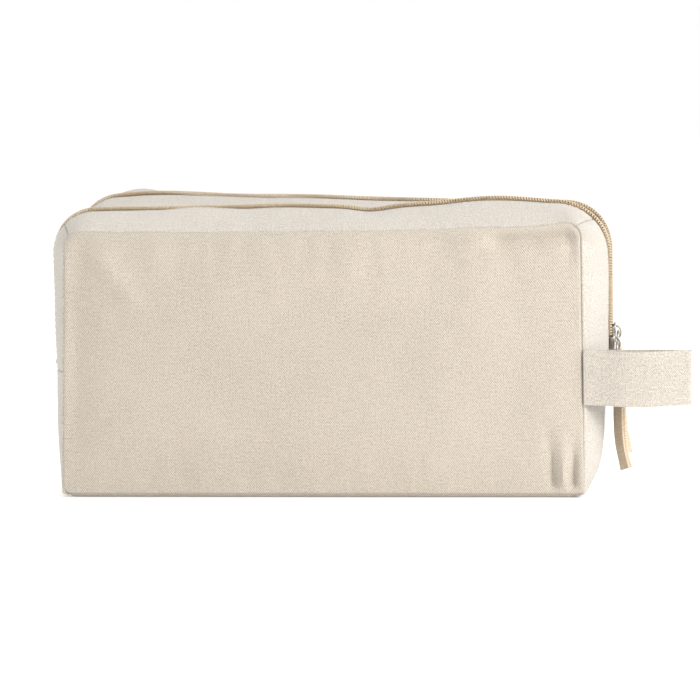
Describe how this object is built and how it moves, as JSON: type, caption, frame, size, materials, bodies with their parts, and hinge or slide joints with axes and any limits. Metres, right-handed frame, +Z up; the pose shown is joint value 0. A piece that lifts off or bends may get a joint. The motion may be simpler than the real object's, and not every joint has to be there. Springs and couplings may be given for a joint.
{
  "type": "shaving kit bag",
  "caption": "Soft boxy wash bag of natural cotton canvas with a zipped compartment on each side of a divider, fabric pull tabs and a carry loop at one end.",
  "frame": {"origin": "middle of the base, on the surface the bag stands on", "axes": "+X along the bag to the end with the carry loop, -Y front, +Z up"},
  "size_m": [0.3232, 0.1101, 0.1444],
  "materials": {
    "canvas": "matt natural unbleached cotton canvas, plain weave with seed specks",
    "canvas_pale": "matt natural cotton canvas cut across the grain, a little paler",
    "canvas_inner": "matt natural cotton canvas, unlined inside",
    "canvas_strap": "matt folded cotton canvas strap with stitched edges",
    "canvas_tab": "matt cotton canvas strip with a stitched edge",
    "binding_tape": "matt cotton tape, fine ribs",
    "zip_tape": "matt woven polyester tape, sand colour",
    "zip_coil": "satin nylon coil, sand brown",
    "zip_metal": "satin zinc alloy, slightly rubbed edges"
  },
  "bodies": {
    "root": {"bottom_panel": "canvas", "left_end_panel": "canvas", "right_end_panel": "canvas", "middle_strip_top": "canvas_pale", "middle_strip_left": "canvas_pale", "middle_strip_right": "canvas_pale", "divider": "canvas_inner", "front_panel_lower": "canvas", "front_binding_bottom": "binding_tape", "front_binding_left": "binding_tape", "front_binding_right": "binding_tape", "front_zip_inner_tape": "zip_tape", "front_zip_inner_coil": "zip_coil", "front_zip_tape_foot_right": "zip_tape", "front_zip_tape_foot_left": "zip_tape", "front_zip_coil_foot_right": "zip_coil", "front_zip_coil_foot_left": "zip_coil", "front_zip_top_stop_inner": "zip_metal", "front_zip_top_stop_outer": "zip_metal", "front_zip_bottom_stop": "zip_metal", "rear_panel_lower": "canvas", "rear_binding_bottom": "binding_tape", "rear_binding_left": "binding_tape", "rear_binding_right": "binding_tape", "rear_zip_inner_tape": "zip_tape", "rear_zip_inner_coil": "zip_coil", "rear_zip_tape_foot_right": "zip_tape", "rear_zip_tape_foot_left": "zip_tape", "rear_zip_coil_foot_right": "zip_coil", "rear_zip_coil_foot_left": "zip_coil", "rear_zip_top_stop_inner": "zip_metal", "rear_zip_top_stop_outer": "zip_metal", "rear_zip_bottom_stop": "zip_metal"},
    "front_cover": {"front_panel_upper": "canvas", "front_strip_top": "canvas_pale", "front_strip_left": "canvas_pale", "front_strip_right": "canvas_pale", "front_binding_top": "binding_tape", "front_zip_outer_tape": "zip_tape", "front_zip_outer_coil": "zip_coil"},
    "front_slider": {"front_slider": "zip_metal"},
    "front_pull_ring": {"front_pull_ring": "zip_metal"},
    "front_pull_tab": {"front_pull_tab": "canvas_tab"},
    "rear_cover": {"rear_panel_upper": "canvas", "rear_strip_top": "canvas_pale", "rear_strip_left": "canvas_pale", "rear_strip_right": "canvas_pale", "rear_binding_top": "binding_tape", "rear_zip_outer_tape": "zip_tape", "rear_zip_outer_coil": "zip_coil"},
    "rear_slider": {"rear_slider": "zip_metal"},
    "rear_pull_ring": {"rear_pull_ring": "zip_metal"},
    "rear_pull_tab": {"rear_pull_tab": "canvas_tab"},
    "carry_loop": {"carry_loop": "canvas_strap"}
  },
  "joints": [
    {"name": "front_cover_fold", "type": "hinge", "parent": "root", "child": "front_cover", "pos_m": [0, -0.052, 0.075], "axis": [1, 0, 0], "range_deg": [0, 78]},
    {"name": "front_slider_travel", "type": "slide", "parent": "root", "child": "front_slider", "axis": [0, 0, 1], "range_m": [0, 0.04]},
    {"name": "front_ring_swing", "type": "hinge", "parent": "front_slider", "child": "front_pull_ring", "pos_m": [0.14743, -0.026, 0.074], "axis": [0, -1, 0], "range_deg": [0, 120]},
    {"name": "front_tab_swing", "type": "hinge", "parent": "front_pull_ring", "child": "front_pull_tab", "pos_m": [0.14743, -0.026, 0.067], "axis": [0, -1, 0], "range_deg": [-4, 55]},
    {"name": "rear_cover_fold", "type": "hinge", "parent": "root", "child": "rear_cover", "pos_m": [0, 0.052, 0.075], "axis": [-1, 0, 0], "range_deg": [0, 78]},
    {"name": "rear_slider_travel", "type": "slide", "parent": "root", "child": "rear_slider", "axis": [0, 0, 1], "range_m": [0, 0.04]},
    {"name": "rear_ring_swing", "type": "hinge", "parent": "rear_slider", "child": "rear_pull_ring", "pos_m": [0.14743, 0.026, 0.074], "axis": [0, -1, 0], "range_deg": [0, 120]},
    {"name": "rear_tab_swing", "type": "hinge", "parent": "rear_pull_ring", "child": "rear_pull_tab", "pos_m": [0.14743, 0.026, 0.067], "axis": [0, -1, 0], "range_deg": [-4, 55]},
    {"name": "loop_swing", "type": "hinge", "parent": "root", "child": "carry_loop", "pos_m": [0.131, -0.053, 0.06], "axis": [0, 0, 1], "range_deg": [-100, 9]}
  ]
}
